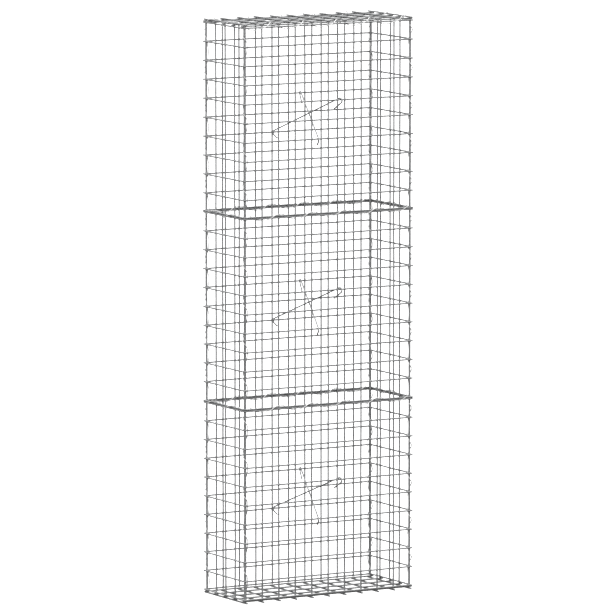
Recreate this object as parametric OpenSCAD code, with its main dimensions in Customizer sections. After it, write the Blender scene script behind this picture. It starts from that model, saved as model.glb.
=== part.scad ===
// Gabion wall: three welded-mesh sections stacked into one upright cage.
// +X runs along the front, +Y to the rear, +Z up. Millimetres.

/* [Mesh] */
// Wire centre to wire centre
cell = 50; // [40:1:60]
// Thickness of the mesh wire
wire = 4.5; // [3.5:0.5:5.5]
// How far one wire sinks into the next at a weld
weld = 0.8; // [0.5:0.1:1.2]

/* [Sections] */
// Cells along the front
cells_across = 10; // [8:2:12]
// Cells from front to rear
cells_deep = 4; // [4:2:6]
// Cells up each section
cells_up = 10; // [8:2:12]
// Height of the lowest cell of the upper section
short_cell = 46; // [40:1:50]

/* [Wire ends] */
// Tip of an upright wire past the level wire it ends at
upright_tip = 2.25; // [2:0.25:2.25]
// Gap left between wire ends that point at each other
end_gap = 0.5; // [0.4:0.1:1]
// How far the lid's and floor's wires reach past the faces of the walls
lid_tip = 3; // [1:0.5:6]

/* [Spirals] */
// Thickness of the binding wire
spiral_wire = 2.5; // [2:0.25:3]
// Gap between a spiral and the wires that it binds
spiral_gap = 0.8; // [0.7:0.1:1]
// Distance from a spiral's end to the last mesh wire that it passes
spiral_inset = 12; // [10:1:16]

/* [Ties] */
// Thickness of the tie wire
tie_wire = 4; // [3:0.5:5]
// Sideways place of a hook from the middle of the wall
tie_side = 36; // [30:1:40]
// Gap between the two ties where they cross
tie_apart = 0.3; // [0.2:0.1:2]
// Radius of a hook's bend, to the middle of the wire
hook_r = 7; // [6:0.5:9]
// Length of the leg that turns back under a tie's high hook
high_leg = 30; // [10:1:36]
// Length of the leg that turns back under a tie's low hook
low_leg = 14; // [10:1:24]
// Slope of both legs below level
hook_dip = 35; // [25:5:60]
// Gap between a hook and the wire that it hangs on
hook_gap = 0.2; // [0.1:0.1:0.5]

/* [Hidden] */

LOWER = 0;
MIDDLE = 1;
UPPER = 2;

step_in = wire - weld;                     // centre to centre of two welded wires
half_width = cell * cells_across / 2;      // to the end upright of the front
mesh_depth = cell * cells_deep;

side_first = step_in + wire;               // front's level wires to a side's first upright
depth = mesh_depth + 2 * side_first;       // front's level wires to the rear's
side_x = half_width + wire;                // level wires of a side

// Heights of the floor, then of each section's lowest level wires
floor_low = wire / 2;
floor_high = floor_low + step_in;
base_z = floor_high + wire;
section_rise = cell * cells_up + wire;

function section_z(s) = base_z + s * section_rise;

// Rise of level wire i over the lowest one of section s
function level(s, i) = (s == UPPER && i > 0) ? cell * i - (cell - short_cell) : cell * i;

function section_height(s) = level(s, cells_up);

top_z = section_z(UPPER) + section_height(UPPER);
lid_low = top_z + wire;
lid_high = lid_low + step_in;

// Ties hang on level wires one cell above and one cell below the middle of a section
tie_run = norm([2 * tie_side, depth]);     // hook to hook, seen from above
tie_turn = atan2(2 * tie_side, depth);     // turn of a tie from the Y axis
tie_slope = atan2(2 * cell, tie_run);
tie_shift = (tie_wire + tie_apart) / 2 * norm([cell, tie_side]) / cell;
// A bend's centre hangs this far under the wire that the bend rests on
hook_sag = hook_r - tie_wire / 2 - hook_gap - wire / 2 / cos(22.5) / cos(tie_turn);
arc_steps = 8;

// One straight wire with eight sides, flat sides facing along the axes
module bar_x(x0, x1, y, z) {
    translate([x0, y, z]) rotate([0, 90, 0]) rotate(22.5)
        cylinder(h = x1 - x0, d = wire / cos(22.5), $fn = 8);
}

module bar_y(y0, y1, x, z) {
    translate([x, y0, z]) rotate([-90, 0, 0]) rotate(22.5)
        cylinder(h = y1 - y0, d = wire / cos(22.5), $fn = 8);
}

module bar_z(z0, z1, x, y) {
    translate([x, y, z0]) rotate(22.5)
        cylinder(h = z1 - z0, d = wire / cos(22.5), $fn = 8);
}

// Front or rear wall of section s; outward is -1 at the front, 1 at the rear
module long_panel(s, outward) {
    y = outward * depth / 2;
    z = section_z(s);
    reach = side_x + wire / 2;
    union() {
        for (i = [0 : cells_up])
            bar_x(-reach, reach, y, z + level(s, i));
        for (i = [0 : cells_across])
            bar_z(z - upright_tip, z + section_height(s) + upright_tip,
                  cell * i - half_width, y - outward * step_in);
    }
}

// Left or right wall of section s; outward is -1 at the left, 1 at the right
module side_panel(s, outward) {
    z = section_z(s);
    reach = depth / 2 - wire / 2 - end_gap;
    union() {
        for (i = [0 : cells_up])
            bar_y(-reach, reach, outward * side_x, z + level(s, i));
        for (i = [0 : cells_deep])
            bar_z(z - upright_tip, z + section_height(s) + upright_tip,
                  outward * (side_x - step_in), cell * i - mesh_depth / 2);
    }
}

// Level mesh: x wires at z_long, y wires at z_cross
module level_panel(z_long, z_cross) {
    reach_x = side_x + wire / 2 + lid_tip;
    reach_y = depth / 2 + wire / 2 + lid_tip;
    union() {
        for (i = [0 : cells_deep])
            bar_x(-reach_x, reach_x, cell * i - mesh_depth / 2, z_long);
        for (i = [0 : cells_across])
            bar_y(-reach_y, reach_y, cell * i - half_width, z_cross);
    }
}

// A bent wire with eight sides: points is a path of [x, z] in the XZ plane
module bent_wire(points, thick) {
    last = len(points) - 1;
    sides = 8;
    r = thick / 2 / cos(180 / sides);
    rings = [for (i = [0 : last])
        let (before = points[max(i - 1, 0)], after = points[min(i + 1, last)],
             along = (after - before) / norm(after - before))
        for (k = [0 : sides - 1])
            let (a = 360 * (k + 0.5) / sides)
            [points[i].x - along.y * r * cos(a), r * sin(a), points[i].y + along.x * r * cos(a)]];
    skin = [for (i = [0 : last - 1], k = [0 : sides - 1])
        let (n = (k + 1) % sides)
        [sides * i + k, sides * i + n, sides * (i + 1) + n, sides * (i + 1) + k]];
    first_cap = [for (k = [sides - 1 : -1 : 0]) k];
    last_cap = [for (k = [0 : sides - 1]) sides * last + k];
    polyhedron(rings, concat(skin, [first_cap, last_cap]), convexity = 4);
}

// Arc of hook_r under the wire at the point at, from angle a0 to a1
function hook_arc(at, a0, a1) =
    [for (i = [0 : arc_steps])
        at - [0, hook_sag] + hook_r * polar(a0 + (a1 - a0) * i / arc_steps)];

function polar(a) = [cos(a), sin(a)];

// Path of a tie: leg of the low hook, over both level wires, leg of the high hook
low_bend = hook_arc([0, 0], 270 - hook_dip, 90 + tie_slope);
high_bend = hook_arc([tie_run, 2 * cell], 90 + tie_slope, hook_dip - 90);
tie_path = concat(
    [low_bend[0] + low_leg * polar(-hook_dip)],
    low_bend,
    high_bend,
    [high_bend[arc_steps] + high_leg * polar(180 + hook_dip)]
);

// Tie of section s from a low hook at the rear to a high hook at the front,
// or from front to rear when crossed is true
module tie(s, crossed) {
    shift = crossed ? tie_shift : -tie_shift;
    lift = section_z(s) + level(s, cells_up / 2 - 1);
    translate([shift, 0, lift])
        mirror([0, crossed ? 1 : 0, 0])
            translate([-tie_side, depth / 2, 0])
                rotate(tie_turn - 90)
                    bent_wire(tie_path, tie_wire);
}

// Radius of a spiral round two wires whose centres are off_apart from each other
function spiral_radius(off_apart) =
    off_apart / 2 + wire / 2 / cos(22.5) + spiral_gap + spiral_wire / 2;

// A spiral turns once in two cells. It stands still for a moment where it passes a
// crossing wire: at the angle even_turn for wires 0, 2, 4 and at odd_turn for 1, 3, 5.
function spiral_turn(j, even_turn, odd_turn) =
    j % 2 == 0 ? even_turn - 180 * j : odd_turn - 180 * (j - 1);

// Points [angle, way along] of a spiral, heights being where the crossing wires are
function spiral_points(heights, even_turn, odd_turn, first) =
    let (pause = (wire + spiral_wire) / 2 + spiral_gap, last = len(heights) - 1)
    [for (j = [0 : last - 1])
        let (a0 = spiral_turn(j + first, even_turn, odd_turn),
             a1 = spiral_turn(j + 1 + first, even_turn, odd_turn),
             z0 = heights[j] + (j == 0 ? spiral_inset : pause),
             z1 = heights[j + 1] - (j == last - 1 ? spiral_inset : pause),
             steps = max(3, round((a0 - a1) / 45)))
        for (i = [0 : steps]) [a0 + (a1 - a0) * i / steps, z0 + (z1 - z0) * i / steps]];

// Spiral of radius r along Z; first is 1 where the first wire it passes counts as odd
module spiral(heights, r, even_turn, odd_turn, first = 0) {
    points = spiral_points(heights, even_turn, odd_turn, first);
    last = len(points) - 1;
    sides = 5;
    path = [for (p = points) [r * cos(p.x), r * sin(p.x), p.y]];
    rings = [for (i = [0 : last])
        let (before = path[max(i - 1, 0)], after = path[min(i + 1, last)],
             along = (after - before) / norm(after - before),
             out = [cos(points[i].x), sin(points[i].x), 0],
             across = cross(along, out) / norm(cross(along, out)),
             up = cross(across, along))
        for (k = [0 : sides - 1])
            path[i] + spiral_wire / 2 * (up * cos(360 * k / sides)
                                         + across * sin(360 * k / sides))];
    skin = [for (i = [0 : last - 1], k = [0 : sides - 1])
        let (n = (k + 1) % sides)
        [sides * i + n, sides * i + k, sides * (i + 1) + k, sides * (i + 1) + n]];
    first_cap = [for (k = [0 : sides - 1]) k];
    last_cap = [for (k = [sides - 1 : -1 : 0]) sides * last + k];
    polyhedron(rings, concat(skin, [first_cap, last_cap]), convexity = 10);
}

// Ways along an edge at which n cells are marked off
function marks(n) = [for (j = [0 : n]) cell * j - cell * n / 2];

// The three spirals of the left front corner, or of the right front one when side is 1.
// They round the end uprights of two walls and stay inside where level wires meet.
module corner_spirals(side) {
    x = side * (half_width + weld / 2);
    y = -(depth / 2 - step_in + mesh_depth / 2) / 2;
    apart = norm([weld, depth / 2 - step_in - mesh_depth / 2]);
    for (s = [LOWER : UPPER])
        translate([x, y, section_z(s)])
            spiral([for (i = [0 : cells_up]) level(s, i)], spiral_radius(apart),
                   side < 0 ? 90 : 197, side < 0 ? -17 : 90);
}

// Spiral along the doubled level wires between two sections, at the front; out is
// the way from the middle to those wires, and first as in spiral()
module joint_spiral(s, cells, out, first) {
    translate([0, -out, section_z(s) + section_height(s) + wire / 2])
        rotate([90, 0, 90])
            spiral(marks(cells), spiral_radius(wire), 97, -97, first);
}

// Spiral that binds the lid to the front wall or, when on_side is true, to a side wall
module lid_spiral(cells, wall_out, lid_out, lid_z, even_turn, odd_turn, first) {
    translate([0, -(wall_out + lid_out) / 2, (top_z + lid_z) / 2])
        rotate([90, 0, 90])
            spiral(marks(cells), spiral_radius(norm([wall_out - lid_out, lid_z - top_z])),
                   even_turn, odd_turn, first);
}

module joint_along(s) { joint_spiral(s, cells_across, depth / 2, 0); }
module joint_aside(s, first) { joint_spiral(s, cells_deep, side_x, first); }
module lid_along() {
    lid_spiral(cells_across, depth / 2, mesh_depth / 2, lid_low, -26, -156, 0);
}
module lid_aside(first) {
    lid_spiral(cells_deep, side_x, half_width, lid_high, 90, -132, first);
}

module floor_panel() { color("lightgray") level_panel(floor_high, floor_low); }
module lid_panel() { color("lightgray") level_panel(lid_low, lid_high); }

module lower_front_panel() { color("silver") long_panel(LOWER, -1); }
module lower_rear_panel() { color("silver") long_panel(LOWER, 1); }
module lower_left_panel() { color("lightgray") side_panel(LOWER, -1); }
module lower_right_panel() { color("lightgray") side_panel(LOWER, 1); }

module middle_front_panel() { color("silver") long_panel(MIDDLE, -1); }
module middle_rear_panel() { color("silver") long_panel(MIDDLE, 1); }
module middle_left_panel() { color("lightgray") side_panel(MIDDLE, -1); }
module middle_right_panel() { color("lightgray") side_panel(MIDDLE, 1); }

module upper_front_panel() { color("silver") long_panel(UPPER, -1); }
module upper_rear_panel() { color("silver") long_panel(UPPER, 1); }
module upper_left_panel() { color("lightgray") side_panel(UPPER, -1); }
module upper_right_panel() { color("lightgray") side_panel(UPPER, 1); }

module lower_tie_a() { color("darkgray") tie(LOWER, false); }
module lower_tie_b() { color("darkgray") tie(LOWER, true); }
module middle_tie_a() { color("darkgray") tie(MIDDLE, false); }
module middle_tie_b() { color("darkgray") tie(MIDDLE, true); }
module upper_tie_a() { color("darkgray") tie(UPPER, false); }
module upper_tie_b() { color("darkgray") tie(UPPER, true); }

module front_left_spirals() { color("gray") corner_spirals(-1); }
module front_right_spirals() { color("gray") corner_spirals(1); }
module rear_left_spirals() { color("gray") rotate(180) corner_spirals(1); }
module rear_right_spirals() { color("gray") rotate(180) corner_spirals(-1); }

module lower_joint_front_spiral() { color("gray") joint_along(LOWER); }
module lower_joint_rear_spiral() { color("gray") rotate(180) joint_along(LOWER); }
module lower_joint_left_spiral() { color("gray") rotate(-90) joint_aside(LOWER, 1); }
module lower_joint_right_spiral() { color("gray") rotate(90) joint_aside(LOWER, 0); }
module upper_joint_front_spiral() { color("gray") joint_along(MIDDLE); }
module upper_joint_rear_spiral() { color("gray") rotate(180) joint_along(MIDDLE); }
module upper_joint_left_spiral() { color("gray") rotate(-90) joint_aside(MIDDLE, 1); }
module upper_joint_right_spiral() { color("gray") rotate(90) joint_aside(MIDDLE, 0); }

module lid_front_spiral() { color("gray") lid_along(); }
module lid_rear_spiral() { color("gray") rotate(180) lid_along(); }
module lid_left_spiral() { color("gray") rotate(-90) lid_aside(1); }
module lid_right_spiral() { color("gray") rotate(90) lid_aside(0); }

floor_panel();
lower_front_panel();
lower_rear_panel();
lower_left_panel();
lower_right_panel();
middle_front_panel();
middle_rear_panel();
middle_left_panel();
middle_right_panel();
upper_front_panel();
upper_rear_panel();
upper_left_panel();
upper_right_panel();
lid_panel();
lower_tie_a();
lower_tie_b();
middle_tie_a();
middle_tie_b();
upper_tie_a();
upper_tie_b();
front_left_spirals();
front_right_spirals();
rear_left_spirals();
rear_right_spirals();
lower_joint_front_spiral();
lower_joint_rear_spiral();
lower_joint_left_spiral();
lower_joint_right_spiral();
upper_joint_front_spiral();
upper_joint_rear_spiral();
upper_joint_left_spiral();
upper_joint_right_spiral();
lid_front_spiral();
lid_rear_spiral();
lid_left_spiral();
lid_right_spiral();
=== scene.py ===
"""Looks of a gabion wall: a tall cage of welded wire mesh, its lacing spirals and its ties."""

import math

import bmesh
import bpy
from bpy.props import FloatProperty, FloatVectorProperty, IntProperty, PointerProperty
from bpy.types import Operator, Panel, PropertyGroup
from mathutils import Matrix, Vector


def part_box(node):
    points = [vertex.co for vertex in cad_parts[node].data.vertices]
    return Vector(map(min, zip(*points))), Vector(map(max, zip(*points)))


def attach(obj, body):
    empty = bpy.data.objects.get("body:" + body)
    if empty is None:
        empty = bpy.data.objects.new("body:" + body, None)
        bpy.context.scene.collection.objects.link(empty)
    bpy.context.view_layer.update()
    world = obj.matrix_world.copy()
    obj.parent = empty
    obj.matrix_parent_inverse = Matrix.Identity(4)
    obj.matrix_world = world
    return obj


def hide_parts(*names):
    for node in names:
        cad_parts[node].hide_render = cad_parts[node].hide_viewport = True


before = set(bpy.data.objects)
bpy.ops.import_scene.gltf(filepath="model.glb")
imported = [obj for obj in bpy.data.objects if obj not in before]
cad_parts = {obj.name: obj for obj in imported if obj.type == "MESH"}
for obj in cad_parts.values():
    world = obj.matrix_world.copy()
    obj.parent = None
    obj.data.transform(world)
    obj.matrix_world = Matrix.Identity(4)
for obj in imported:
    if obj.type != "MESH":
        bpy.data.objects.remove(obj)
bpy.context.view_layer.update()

bl_info = {
    "name": "Gabion Wall",
    "version": (1, 0, 0),
    "blender": (4, 5, 0),
    "location": "3D View > Sidebar > Gabion",
    "description": "Builds a gabion wall of welded wire mesh on its packed frame",
    "category": "Add Mesh",
}

SECTIONS = ("lower", "middle", "upper")
MM = 0.001
PATCH_SCALE = 38.0          # noise scale of the zinc's duller patches
GRAIN_SCALE = 900.0         # noise scale of its fine grain
BEAD_FLATNESS = 0.42        # thickness of a weld bead against its width
FLOOR_SIZE = 160.0
FLOOR_GLOW = 0.75
CAMERA_PLACE = (-9.7754, -16.8656, 3.2116)
CAMERA_TILT = 90 - 7.180    # degrees from straight down
CAMERA_TURN = -30.095       # degrees about the upright axis
CAMERA_LENS = 435.15


# ---------------------------------------------------------------- sizes and colours

def length(name, description, millimetres):
    """A length property whose default is given in millimetres."""
    return FloatProperty(name=name, description=description, default=millimetres * MM,
                         min=0.0, precision=5, unit="LENGTH", subtype="DISTANCE")


def colour(name, description, red, green, blue):
    """A colour property without transparency."""
    return FloatVectorProperty(name=name, description=description, subtype="COLOR",
                               size=3, min=0.0, max=1.0, default=(red, green, blue))


class GabionMeshSizes(PropertyGroup):
    cell: length("Cell", "Wire centre to wire centre of the mesh", 50)
    wire: length("Wire", "Thickness of the mesh wire", 4.5)
    chamfer: length("Cut edge", "Width of the blunted edge at a cut wire end", 0.45)
    bead: length("Weld bead", "Reach of the squeezed-out metal round a weld", 3.1)
    bow: length("Unevenness", "How far the wires stray from straight lines", 0.5)
    sides: IntProperty(name="Sides", description="Sides of a mesh wire", default=12, min=6)


class GabionSpiralSizes(PropertyGroup):
    wire: length("Wire", "Thickness of the spirals' wire", 2.5)
    gap: length("Gap", "Room between a spiral and the wires that it binds", 0.8)
    inset: length("Inset", "A spiral's end to the last mesh wire that it passes", 12)
    steps: IntProperty(name="Steps", description="Points of the spiral in one cell",
                       default=8, min=4)


class GabionTieSizes(PropertyGroup):
    wire: length("Wire", "Thickness of the tie wire", 4)
    side: length("Hook place", "A hook's distance from the middle of the wall", 36)
    apart: length("Apart", "Room between two ties where they cross", 0.3)
    bend: length("Bend radius", "Radius of a hook, to the middle of the wire", 7)
    high_leg: length("High leg", "Leg that turns back under a high hook", 30)
    low_leg: length("Low leg", "Leg that turns back under a low hook", 14)
    gap: length("Gap", "Room between a hook and the wire it hangs on", 0.2)
    dip: FloatProperty(name="Dip", description="Slope of the legs below level",
                       default=math.radians(35), unit="ROTATION", subtype="ANGLE")


class GabionFinish(PropertyGroup):
    bright: colour("Bright zinc", "Fresh face of the zinc coat", 0.46, 0.465, 0.47)
    dull: colour("Dull zinc", "Weathered patches of the zinc coat", 0.32, 0.325, 0.33)
    # Painted shade: this dark colour is laid on the weld beads to stand for the shade where
    # the wires cross.
    weld: colour("Weld", "Zinc that the weld has burnt", 0.14, 0.14, 0.14)
    tie: colour("Tie zinc", "Zinc of the ties", 0.42, 0.425, 0.43)
    # Painted highlight: the spirals are the same zinc as the mesh, coloured near white to
    # stand for their bright highlights.
    spiral: colour("Spiral zinc with painted highlight", "Paler zinc of the spirals", 0.85, 0.85, 0.85)
    floor: colour("Floor", "Studio floor", 0.92, 0.92, 0.92)


SETTINGS = {
    "gabion_mesh": GabionMeshSizes,
    "gabion_spiral": GabionSpiralSizes,
    "gabion_tie": GabionTieSizes,
    "gabion_finish": GabionFinish,
}


# ---------------------------------------------------------------- shader maths

class Value:
    """A shader socket that can be used in sums, and the tree it lives in."""

    def __init__(self, tree, socket):
        self.tree = tree
        self.socket = socket

    def maths(self, operation, *inputs):
        sockets = {i: v for i, v in enumerate(inputs)}
        return self.tree.node("ShaderNodeMath", sockets, operation=operation)

    def __add__(self, other):
        return self.maths("ADD", self, other)

    def __sub__(self, other):
        return self.maths("SUBTRACT", self, other)

    def __rsub__(self, other):
        return self.maths("SUBTRACT", other, self)

    def __mul__(self, other):
        return self.maths("MULTIPLY", self, other)

    __radd__ = __add__
    __rmul__ = __mul__

    def between(self, low, high):
        """0 below low, 1 above high, and a straight ramp from one to the other."""
        sockets = {"Value": self, "From Min": low, "From Max": high}
        return self.tree.node("ShaderNodeMapRange", sockets, clamp=True)


class Tree:
    """The node tree of a new material or world, and its main shader."""

    def __init__(self, owner, shader="Principled BSDF"):
        owner.use_nodes = True
        self.owner = owner
        self.nodes = owner.node_tree.nodes
        self.links = owner.node_tree.links
        self.shader = self.nodes[shader]

    def node(self, kind, sockets=None, output=0, **settings):
        """A node with its settings first, then the values or links of its sockets."""
        made = self.nodes.new(kind)
        for name, setting in settings.items():
            setattr(made, name, setting)
        for key, value in (sockets or {}).items():
            self.join(value, made.inputs[key])
        return Value(self, made.outputs[output])

    def join(self, value, socket):
        if isinstance(value, Value):
            self.links.new(value.socket, socket)
        else:
            socket.default_value = value

    def feed(self, name, value):
        """Sets or links one socket of the material's shader."""
        self.join(value, self.shader.inputs[name])

    def place(self):
        return self.node("ShaderNodeTexCoord", output="Object")

    def noise(self, place, scale, detail=2.0, roughness=0.5):
        sockets = {"Vector": place, "Scale": scale, "Detail": detail,
                   "Roughness": roughness}
        return self.node("ShaderNodeTexNoise", sockets, noise_dimensions="3D")

    def mix_colours(self, factor, first, second):
        made = self.nodes.new("ShaderNodeMix")
        made.data_type = "RGBA"
        self.join(factor, made.inputs[0])
        self.join(first, made.inputs[6])
        self.join(second, made.inputs[7])
        return Value(self, made.outputs[2])


def opaque(rgb):
    return (*rgb, 1.0)


def zinc(name, bright, dull, painted_shade, spangle_size, roughness, metal):
    """Zinc coat on steel wire: flaky spangle, duller patches, and a painted shade that darkens
    the weld beads where the wires cross.
    """
    tree = Tree(bpy.data.materials.new(name))
    place = tree.place()
    patches = tree.noise(place, PATCH_SCALE, 3.0).between(0.35, 0.68)
    flakes = tree.node("ShaderNodeTexVoronoi", {"Vector": place, "Scale": 1 / spangle_size},
                       output="Color", feature="F1")
    flake = tree.node("ShaderNodeSeparateColor", {"Color": flakes}, output="Red")
    grain = tree.noise(place, GRAIN_SCALE, 2.0, 0.6)
    dullness = patches * 0.55 + flake * 0.3 + grain * 0.15
    coat = tree.mix_colours(dullness, opaque(bright), opaque(dull))
    weld = tree.node("ShaderNodeAttribute", output="Fac", attribute_name="weld")
    # Painted shade: the weld beads are mixed towards the dark colour to stand for the shade
    # where the wires cross; the same mask also dulls and roughens them.
    weld_shade_mask = weld * (0.3 + 0.4 * grain)
    tree.feed("Base Color", tree.mix_colours(weld_shade_mask, coat, opaque(painted_shade)))
    tree.feed("Metallic", metal - 0.4 * weld_shade_mask)
    tree.feed("Roughness", roughness + 0.16 * patches + 0.08 * flake + 0.2 * weld_shade_mask)
    bump = tree.node("ShaderNodeBump", {"Strength": 0.25, "Distance": 0.0002,
                                        "Height": grain + 0.4 * flake})
    tree.feed("Normal", bump)
    return tree.owner


def material(name, make):
    """The material of that name, made when it is first asked for."""
    return bpy.data.materials.get(name) or make()


def mesh_zinc(context):
    look = context.scene.gabion_finish
    return material("Mesh zinc", lambda: zinc("Mesh zinc", look.bright, look.dull,
                                              look.weld, 0.004, 0.30, 0.92))


def tie_zinc(context):
    look = context.scene.gabion_finish
    return material("Tie zinc", lambda: zinc("Tie zinc", look.tie, look.dull,
                                             look.weld, 0.003, 0.34, 0.92))


# Painted highlight: a near-white copy of the zinc that stands for the spirals' bright
# highlights.
def spiral_painted_highlight_zinc(context):
    look = context.scene.gabion_finish
    return material("Spiral zinc with painted highlight", lambda: zinc("Spiral zinc with painted highlight", look.spiral, look.spiral,
                                                look.weld, 0.002, 0.45, 0.50))


# ---------------------------------------------------------------- modelling by hand

def pick(*objects):
    """Selects these objects alone, the first of them active."""
    bpy.ops.object.select_all(action="DESELECT")
    for obj in objects:
        obj.select_set(True)
    bpy.context.view_layer.objects.active = objects[0]


def pick_none():
    bpy.ops.object.select_all(action="DESELECT")


def settle(obj):
    """Puts the object's place, turn and size into its mesh."""
    pick(obj)
    bpy.ops.object.transform_apply(location=True, rotation=True, scale=True)


def shape_up(obj, kind, **settings):
    """Adds a modifier of that kind and applies it."""
    pick(obj)
    made = obj.modifiers.new(kind.title(), kind)
    for name, setting in settings.items():
        setattr(made, name, setting)
    bpy.ops.object.modifier_apply(modifier=made.name)


def repeat(obj, count, step):
    """Makes a row of count copies of the object's mesh, step apart."""
    shape_up(obj, "ARRAY", count=count, use_relative_offset=False,
             use_constant_offset=True, constant_offset_displace=step)


def copy_of(obj):
    """A copy of the object with a mesh of its own."""
    pick(obj)
    bpy.ops.object.duplicate(linked=False)
    return bpy.context.view_layer.objects.active


def joined(name, objects):
    """One object of that name from all of these."""
    pick(*objects)
    bpy.ops.object.join()
    whole = bpy.context.view_layer.objects.active
    whole.name = name
    whole.data.name = name
    return whole


def select_faces(obj, wanted):
    """Selects the faces of an object in edit mode whose bmesh face passes the test."""
    bpy.ops.mesh.select_mode(type="FACE")
    bpy.ops.mesh.select_all(action="DESELECT")
    shape = bmesh.from_edit_mesh(obj.data)
    for face in shape.faces:
        face.select_set(wanted(face))
    bmesh.update_edit_mesh(obj.data)


def select_edges(obj, wanted):
    """Selects the edges of an object in edit mode whose bmesh edge passes the test."""
    bpy.ops.mesh.select_mode(type="EDGE")
    bpy.ops.mesh.select_all(action="DESELECT")
    shape = bmesh.from_edit_mesh(obj.data)
    for edge in shape.edges:
        edge.select_set(wanted(edge))
    bmesh.update_edit_mesh(obj.data)


def cut_wire(sizes, start, end):
    """A straight piece of mesh wire with blunted ends, in pieces half a cell long."""
    start, end = Vector(start), Vector(end)
    along = end - start
    turn = Vector((0, 0, 1)).rotation_difference(along).to_euler()
    bpy.ops.mesh.primitive_cylinder_add(vertices=sizes.sides, radius=sizes.wire / 2,
                                        depth=along.length, end_fill_type="NGON",
                                        location=(start + end) / 2, rotation=turn)
    wire = bpy.context.view_layer.objects.active
    bpy.ops.object.mode_set(mode="EDIT")
    select_faces(wire, lambda face: abs(face.normal.z) > 0.9)
    bpy.ops.mesh.bevel(offset=sizes.chamfer, segments=1, affect="EDGES")
    cuts = max(1, round(along.length / sizes.cell * 2) - 1)
    select_edges(wire, lambda edge: edge.calc_length() > sizes.cell)
    bpy.ops.mesh.subdivide(number_cuts=cuts)
    bpy.ops.object.mode_set(mode="OBJECT")
    settle(wire)
    return wire


def weld_bead(sizes, place, through):
    """Metal squeezed out round a weld, flattened along the axis named by through."""
    bpy.ops.mesh.primitive_uv_sphere_add(segments=8, ring_count=4, radius=sizes.bead,
                                         location=place)
    bead = bpy.context.view_layer.objects.active
    bpy.ops.object.mode_set(mode="EDIT")
    bpy.ops.mesh.select_all(action="SELECT")
    flat = [BEAD_FLATNESS if axis == through else 1.0 for axis in "xyz"]
    bpy.ops.transform.resize(value=flat)
    bpy.ops.object.mode_set(mode="OBJECT")
    settle(bead)
    # Marks the bead for the painted shade that the zinc material lays on the welds.
    mark = bead.data.attributes.new("weld", "FLOAT", "POINT")
    mark.data.foreach_set("value", [1.0] * len(bead.data.vertices))
    return bead


def unevenness():
    """Slow, even wander in all three directions, the same for every panel."""
    texture = bpy.data.textures.get("Wander")
    if texture is None:
        texture = bpy.data.textures.new("Wander", "CLOUDS")
        texture.cloud_type = "COLOR"
        texture.noise_scale = 0.12
        texture.noise_depth = 1
    return texture


def finish_mesh(obj, sizes, coat):
    """Bends the panel a little, smooths its round sides and coats it."""
    shape_up(obj, "DISPLACE", texture=unevenness(), texture_coords="LOCAL",
             direction="RGB_TO_XYZ", space="LOCAL", mid_level=0.5,
             strength=2 * sizes.bow)
    pick(obj)
    bpy.ops.object.shade_smooth_by_angle(angle=math.radians(40))
    obj.data.materials.clear()
    obj.data.materials.append(coat)


def stand_for(obj, node):
    """The piece takes the place of a node of the frame."""
    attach(obj, "root")
    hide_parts(node)


def node_box(node):
    low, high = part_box(node)
    return Vector(low), Vector(high)


def mesh_rows(sizes, low, high):
    """Wire centres in one direction of a panel that fills low to high: the first by
    itself, and then a row that is counted back from the last."""
    first = low + sizes.wire / 2
    last = high - sizes.wire / 2
    count = round((last - first) / sizes.cell)
    return first, last, count


def crossed_wires(context, name, level_ends, level_at, upright_ends, upright_at, axes):
    """A welded panel. Level wires run along axes[0], uprights along axes[1], and the
    weld is pressed along axes[2]. level_ends and upright_ends are the wires' tips.
    level_at and upright_at are (first, last, count, depth) of the wires' rows."""
    sizes = context.scene.gabion_mesh
    across, up, through = ("xyz".index(axis) for axis in axes)

    def point(a, b, c):
        made = [0.0, 0.0, 0.0]
        made[across], made[up], made[through] = a, b, c
        return made

    first, last, count, depth = level_at
    parts = [cut_wire(sizes, point(level_ends[0], first, depth),
                      point(level_ends[1], first, depth))]
    row = cut_wire(sizes, point(level_ends[0], last, depth),
                   point(level_ends[1], last, depth))
    repeat(row, count, point(0, -sizes.cell, 0))
    parts.append(row)

    left, _, uprights, upright_depth = upright_at
    row = cut_wire(sizes, point(left, upright_ends[0], upright_depth),
                   point(left, upright_ends[1], upright_depth))
    repeat(row, uprights + 1, point(sizes.cell, 0, 0))
    parts.append(row)

    seam = (depth + upright_depth) / 2
    for height, rows in ((first, 1), (last, count)):
        beads = weld_bead(sizes, point(left, height, seam), axes[2])
        repeat(beads, uprights + 1, point(sizes.cell, 0, 0))
        repeat(beads, rows, point(0, -sizes.cell, 0))
        parts.append(beads)
    panel = joined(name, parts)
    finish_mesh(panel, sizes, mesh_zinc(context))
    return panel


def wall_panel(context, node, axes):
    """A wall of one section, modelled inside the box of its node. Its level wires lie
    on the outer face and its uprights on the inner one."""
    sizes = context.scene.gabion_mesh
    low, high = node_box(node)
    across, _, through = ("xyz".index(axis) for axis in axes)
    half = sizes.wire / 2
    outer_low = abs(low[through]) > abs(high[through])
    faces = (low[through] + half, high[through] - half)
    level_depth, upright_depth = faces if outer_low else faces[::-1]
    bottom, top, levels = mesh_rows(sizes, low.z, high.z)
    reach = high[across]
    columns = int(2 * reach / sizes.cell)
    left = -columns * sizes.cell / 2
    panel = crossed_wires(context, node + "_wires",
                          (-reach, reach), (bottom, top, levels, level_depth),
                          (low.z, high.z), (left, -left, columns, upright_depth), axes)
    stand_for(panel, node)


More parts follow.
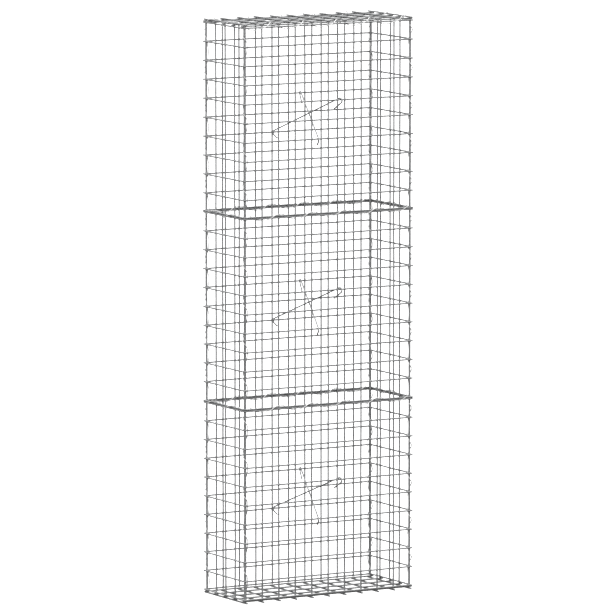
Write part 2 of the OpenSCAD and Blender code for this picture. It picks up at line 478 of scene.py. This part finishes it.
def level_panel(context, node, long_on_top):
    """The floor or the lid. The long wires lie over the short ones in the floor and
    under them in the lid."""
    sizes = context.scene.gabion_mesh
    low, high = node_box(node)
    half = sizes.wire / 2
    upper, lower = high.z - half, low.z + half
    heights = (upper, lower) if long_on_top else (lower, upper)
    rows = int(2 * high.y / sizes.cell)
    columns = int(2 * high.x / sizes.cell)
    front = -rows * sizes.cell / 2
    left = -columns * sizes.cell / 2
    panel = crossed_wires(context, node + "_wires",
                          (low.x, high.x), (front, -front, rows, heights[0]),
                          (low.y, high.y), (left, -left, columns, heights[1]), "xyz")
    stand_for(panel, node)


# ---------------------------------------------------------------- bent wires

def bent_wire(name, path, thickness, coat, sides=10):
    """A smooth round wire through the points of the path."""
    pick_none()
    bpy.ops.curve.primitive_bezier_curve_add(location=(0, 0, 0))
    curve = bpy.context.view_layer.objects.active
    bpy.ops.object.mode_set(mode="EDIT")
    bpy.ops.curve.select_all(action="SELECT")
    bpy.ops.curve.delete(type="VERT")
    for point in path:
        bpy.ops.curve.vertex_add(location=point)
    bpy.ops.curve.select_all(action="SELECT")
    bpy.ops.curve.handle_type_set(type="AUTOMATIC")
    bpy.ops.object.mode_set(mode="OBJECT")
    curve.data.dimensions = "3D"
    curve.data.bevel_depth = thickness / 2
    curve.data.bevel_resolution = (sides - 4) // 2
    curve.data.resolution_u = 2
    curve.data.use_fill_caps = True
    bpy.ops.object.convert(target="MESH")
    wire = bpy.context.view_layer.objects.active
    wire.name = name
    wire.data.name = name
    bpy.ops.object.mode_set(mode="EDIT")
    bpy.ops.mesh.select_all(action="SELECT")
    bpy.ops.mesh.remove_doubles(threshold=0.00005)
    bpy.ops.mesh.normals_make_consistent(inside=False)
    bpy.ops.object.mode_set(mode="OBJECT")
    bpy.ops.object.shade_smooth_by_angle(angle=math.radians(50))
    wire.data.materials.clear()
    wire.data.materials.append(coat)
    return wire


def turned(obj, name, degrees):
    """A copy of the object, turned about the upright axis."""
    made = copy_of(obj)
    made.name = name
    made.data.name = name
    made.rotation_euler = (0, 0, math.radians(degrees))
    settle(made)
    return made


def round_point(radius, degrees):
    return radius * math.cos(math.radians(degrees)), radius * math.sin(math.radians(degrees))


def spiral_turn(j, even_turn, odd_turn):
    """Angle of a spiral as it passes crossing wire j, one full turn in two cells."""
    return even_turn - 180 * j if j % 2 == 0 else odd_turn - 180 * (j - 1)


def spiral_path(sizes, marks, radius, even_turn, odd_turn, first=0):
    """Points (across, up, along) of a spiral that slows where it passes the wires at
    the marks."""
    path = []
    last = len(marks) - 1
    for j in range(last):
        turn = spiral_turn(j + first, even_turn, odd_turn)
        sweep = spiral_turn(j + 1 + first, even_turn, odd_turn) - turn
        start = sizes.inset if j == 0 else 0
        stop = sizes.inset if j == last - 1 else 0
        span = marks[j + 1] - marks[j]
        for i in range(sizes.steps + (j == last - 1)):
            part = (start + (span - start - stop) * i / sizes.steps) / span
            eased = part - 0.6 * math.sin(2 * math.pi * part) / (2 * math.pi)
            a, b = round_point(radius, turn + sweep * eased)
            path.append((a, b, marks[j] + span * part))
    return path


def spiral_radius(mesh, spiral, apart):
    """Radius of a spiral round two mesh wires whose centres are that far apart."""
    return apart / 2 + mesh.wire / 2 + spiral.gap + spiral.wire / 2


def even_marks(cell, count):
    return [cell * (j - count / 2) for j in range(count + 1)]


class Cage:
    """Measures of the cage, read off the boxes of the frame's nodes."""

    def __init__(self, context):
        self.mesh = context.scene.gabion_mesh
        self.spiral = context.scene.gabion_spiral
        half = self.mesh.wire / 2
        front_low, front_high = node_box("lower_front_panel")
        side_low, side_high = node_box("lower_left_panel")
        lid_low, lid_high = node_box("lid_panel")
        self.front_y = front_low.y + half
        self.front_upright_y = front_high.y - half
        self.side_x = side_low.x + half
        self.side_upright_x = side_high.x - half
        self.columns = int(2 * front_high.x / self.mesh.cell)
        self.rows = int(2 * side_high.y / self.mesh.cell)
        self.half_width = self.columns * self.mesh.cell / 2
        self.half_depth = self.rows * self.mesh.cell / 2
        self.lid_low = lid_low.z + half
        self.lid_high = lid_high.z - half
        self.bottoms = []
        self.tops = []
        for section in SECTIONS:
            low, high = node_box(section + "_front_panel")
            self.bottoms.append(low.z + half)
            self.tops.append(high.z - half)

    def levels(self, section):
        """Heights of a section's level wires, counted back from the top one."""
        bottom, top = self.bottoms[section], self.tops[section]
        count = round((top - bottom) / self.mesh.cell)
        return [bottom] + [top - self.mesh.cell * (count - i) for i in range(1, count + 1)]


# ---------------------------------------------------------------- operators

class GABION_OT_long_walls(Operator):
    """Model the front and rear mesh panels of the three sections"""
    bl_idname = "gabion.long_walls"
    bl_label = "Front and Rear Panels"

    def execute(self, context):
        for section in SECTIONS:
            for side in ("front", "rear"):
                wall_panel(context, f"{section}_{side}_panel", "xzy")
        return {"FINISHED"}


class GABION_OT_side_walls(Operator):
    """Model the left and right mesh panels of the three sections"""
    bl_idname = "gabion.side_walls"
    bl_label = "Left and Right Panels"

    def execute(self, context):
        for section in SECTIONS:
            for side in ("left", "right"):
                wall_panel(context, f"{section}_{side}_panel", "yzx")
        return {"FINISHED"}


class GABION_OT_floor_and_lid(Operator):
    """Model the floor panel and the lid panel"""
    bl_idname = "gabion.floor_and_lid"
    bl_label = "Floor and Lid"

    def execute(self, context):
        level_panel(context, "floor_panel", long_on_top=True)
        level_panel(context, "lid_panel", long_on_top=False)
        return {"FINISHED"}


class GABION_OT_ties(Operator):
    """Bend the two crossed ties of each section"""
    bl_idname = "gabion.ties"
    bl_label = "Crossed Ties"

    def execute(self, context):
        cage = Cage(context)
        tie = context.scene.gabion_tie
        cell = cage.mesh.cell
        run = math.hypot(2 * tie.side, 2 * cage.front_y)
        slope = math.degrees(math.atan2(2 * cell, run))
        turn = math.atan2(2 * tie.side, -2 * cage.front_y)
        sag = tie.bend - tie.wire / 2 - tie.gap - cage.mesh.wire / 2 / math.cos(turn)
        dip = math.degrees(tie.dip)
        shift = (tie.wire + tie.apart) / 2 * math.hypot(cell, tie.side) / cell

        def bend(along, up, start, stop, steps=9):
            made = []
            for i in range(steps + 1):
                a, b = round_point(tie.bend, start + (stop - start) * i / steps)
                made.append((along + a, up - sag + b))
            return made

        low = bend(0, 0, 270 - dip, 90 + slope)
        high = bend(run, 2 * cell, 90 + slope, dip - 90)
        tip_low = round_point(tie.low_leg, -dip)
        tip_high = round_point(tie.high_leg, 180 + dip)
        flat = [(low[0][0] + tip_low[0], low[0][1] + tip_low[1])]
        flat += [(low[0][0] + tip_low[0] / 3, low[0][1] + tip_low[1] / 3)]
        flat += low + self.straight(low[-1], high[0]) + high
        flat += [(high[-1][0] + tip_high[0] / 5, high[-1][1] + tip_high[1] / 5)]
        flat += [(high[-1][0] + tip_high[0], high[-1][1] + tip_high[1])]
        for number, section in enumerate(SECTIONS):
            lift = self.hang_height(cage, number)
            for letter, mirror in (("a", 1), ("b", -1)):
                path = []
                for along, up in flat:
                    x = -tie.side + along * math.sin(turn) - mirror * shift
                    y = mirror * (-cage.front_y - along * math.cos(turn))
                    path.append((x, y, lift + up))
                node = f"{section}_tie_{letter}"
                wire = bent_wire(node + "_wire", path, tie.wire, tie_zinc(context), 12)
                stand_for(wire, node)
        return {"FINISHED"}

    @staticmethod
    def straight(start, end):
        """Points close to both ends of the long part, which keep it straight."""
        return [(start[0] + (end[0] - start[0]) * part, start[1] + (end[1] - start[1]) * part)
                for part in (0.04, 0.5, 0.96)]

    @staticmethod
    def hang_height(cage, number):
        levels = cage.levels(number)
        return levels[len(levels) // 2 - 1]


class GABION_OT_corner_spirals(Operator):
    """Wind the spirals that lace the front and rear panels to the side panels"""
    bl_idname = "gabion.corner_spirals"
    bl_label = "Corner Spirals"

    def execute(self, context):
        cage = Cage(context)
        x = (cage.half_width - cage.side_upright_x) / 2
        y = (cage.front_upright_y - cage.half_depth) / 2
        apart = math.hypot(cage.half_width + cage.side_upright_x,
                           cage.front_upright_y + cage.half_depth)
        radius = spiral_radius(cage.mesh, cage.spiral, apart)
        coat = spiral_painted_highlight_zinc(context)
        for side, even_turn, odd_turn in ((-1, 90, -17), (1, 197, 90)):
            spirals = []
            for section in range(len(SECTIONS)):
                path = spiral_path(cage.spiral, cage.levels(section), radius,
                                   even_turn, odd_turn)
                path = [(side * x + a, y + b, c) for a, b, c in path]
                spirals.append(bent_wire("spiral", path, cage.spiral.wire, coat, 8))
            front = "front_left" if side < 0 else "front_right"
            rear = "rear_right" if side < 0 else "rear_left"
            wires = joined(front + "_spiral_wires", spirals)
            stand_for(wires, front + "_spirals")
            wires = turned(wires, rear + "_spiral_wires", 180)
            stand_for(wires, rear + "_spirals")
        return {"FINISHED"}


def lay_along(path, out, up):
    """The path of a spiral laid along the front, out from the middle and up."""
    return [(c, -out + a, up + b) for a, b, c in path]


def wind_round(context, name, edge, cells, radius, out, up, turns, first):
    """Winds one edge's spiral as if along the front, then turns it to its edge."""
    cage = Cage(context)
    path = spiral_path(cage.spiral, even_marks(cage.mesh.cell, cells), radius,
                       *turns, first)
    wire = bent_wire("spiral", lay_along(path, out, up), cage.spiral.wire,
                     spiral_painted_highlight_zinc(context), 8)
    turn = {"front": 0, "rear": 180, "left": -90, "right": 90}[edge]
    made = turned(wire, f"{name}_{edge}_spiral_wire", turn)
    bpy.data.objects.remove(wire)
    stand_for(made, f"{name}_{edge}_spiral")


class GABION_OT_joint_spirals(Operator):
    """Wind the spirals that lace each section to the next"""
    bl_idname = "gabion.joint_spirals"
    bl_label = "Joint Spirals"

    def execute(self, context):
        cage = Cage(context)
        radius = spiral_radius(cage.mesh, cage.spiral, cage.mesh.wire)
        for number, name in enumerate(("lower_joint", "upper_joint")):
            up = (cage.tops[number] + cage.bottoms[number + 1]) / 2
            for edge, cells, out, first in (("front", cage.columns, -cage.front_y, 0),
                                            ("rear", cage.columns, -cage.front_y, 0),
                                            ("left", cage.rows, -cage.side_x, 1),
                                            ("right", cage.rows, -cage.side_x, 0)):
                wind_round(context, name, edge, cells, radius, out, up, (97, -97), first)
        return {"FINISHED"}


class GABION_OT_lid_spirals(Operator):
    """Wind the spirals that lace the lid to the walls"""
    bl_idname = "gabion.lid_spirals"
    bl_label = "Lid Spirals"

    def execute(self, context):
        cage = Cage(context)
        top = cage.tops[-1]
        long_edge = (-cage.front_y, cage.half_depth, cage.lid_low, (-26, -156))
        short_edge = (-cage.side_x, cage.half_width, cage.lid_high, (90, -132))
        for edge, cells, measures, first in (("front", cage.columns, long_edge, 0),
                                             ("rear", cage.columns, long_edge, 0),
                                             ("left", cage.rows, short_edge, 1),
                                             ("right", cage.rows, short_edge, 0)):
            wall_out, lid_out, lid_z, turns = measures
            radius = spiral_radius(cage.mesh, cage.spiral,
                                   math.hypot(wall_out - lid_out, lid_z - top))
            wind_round(context, "lid", edge, cells, radius, (wall_out + lid_out) / 2,
                       (top + lid_z) / 2, turns, first)
        return {"FINISHED"}


def soft_sun(name, towards, strength, spread):
    """A broad, even light that comes from the direction towards."""
    bpy.ops.object.light_add(type="SUN", location=Vector(towards) * 4)
    light = bpy.context.view_layer.objects.active
    light.name = name
    light.data.energy = strength
    light.data.angle = math.radians(spread)
    light.rotation_euler = Vector(towards).to_track_quat("Z", "Y").to_euler()


class GABION_OT_stage(Operator):
    """Set up the floor, the soft studio lights and the camera"""
    bl_idname = "gabion.stage"
    bl_label = "Studio Stage"

    def execute(self, context):
        pick_none()
        bpy.ops.mesh.primitive_plane_add(size=FLOOR_SIZE, location=(0, 0, 0))
        floor = context.view_layer.objects.active
        floor.name = "studio_floor"
        tree = Tree(bpy.data.materials.new("Studio floor"))
        tree.feed("Base Color", opaque(context.scene.gabion_finish.floor))
        tree.feed("Roughness", 0.9)
        tree.feed("Emission Color", (1, 1, 1, 1))
        tree.feed("Emission Strength", FLOOR_GLOW)
        floor.data.materials.append(tree.owner)
        floor.visible_glossy = False
        floor.visible_diffuse = False

        sky = Tree(bpy.data.worlds.new("Studio light"), "Background")
        towards = sky.node("ShaderNodeTexCoord", output="Generated")
        height = sky.node("ShaderNodeSeparateXYZ", {"Vector": towards}, output="Z")
        walls = height.between(-0.25, -0.05)
        ceiling = height.between(-0.02, 0.12)
        sky.feed("Strength", 0.03 + 0.38 * walls + 0.82 * ceiling)
        sky.feed("Color", (1, 1, 1, 1))
        context.scene.world = sky.owner
        context.scene.view_settings.view_transform = "Standard"
        soft_sun("Left light", (-1.0, -0.1, 0.12), 0.5, 50)
        soft_sun("Top light", (0.0, 0.1, 1.0), 1.2, 40)

        bpy.ops.object.camera_add(
            location=CAMERA_PLACE,
            rotation=(math.radians(CAMERA_TILT), 0, math.radians(CAMERA_TURN)))
        camera = context.view_layer.objects.active
        camera.data.sensor_width = 36
        camera.data.lens = CAMERA_LENS
        camera.data.clip_end = 300
        context.scene.camera = camera
        return {"FINISHED"}


OPERATORS = (
    GABION_OT_long_walls,
    GABION_OT_side_walls,
    GABION_OT_floor_and_lid,
    GABION_OT_ties,
    GABION_OT_corner_spirals,
    GABION_OT_joint_spirals,
    GABION_OT_lid_spirals,
    GABION_OT_stage,
)


class GABION_PT_sidebar(Panel):
    """Sidebar panel with the sizes, the finishes and every building step"""
    bl_idname = "GABION_PT_sidebar"
    bl_label = "Gabion Wall"
    bl_space_type = "VIEW_3D"
    bl_region_type = "UI"
    bl_category = "Gabion"

    def draw(self, context):
        for name in SETTINGS:
            group = getattr(context.scene, name)
            box = self.layout.box()
            for key in group.__annotations__:
                box.prop(group, key)
        for operator in OPERATORS:
            self.layout.operator(operator.bl_idname)


def register():
    for name, group in SETTINGS.items():
        bpy.utils.register_class(group)
        setattr(bpy.types.Scene, name, PointerProperty(type=group))
    for made in (*OPERATORS, GABION_PT_sidebar):
        bpy.utils.register_class(made)


def unregister():
    for made in (GABION_PT_sidebar, *reversed(OPERATORS)):
        bpy.utils.unregister_class(made)
    for name, group in SETTINGS.items():
        delattr(bpy.types.Scene, name)
        bpy.utils.unregister_class(group)


def main():
    register()
    for operator in OPERATORS:
        family, step = operator.bl_idname.split(".")
        getattr(getattr(bpy.ops, family), step)()


if __name__ == "__main__":
    main()
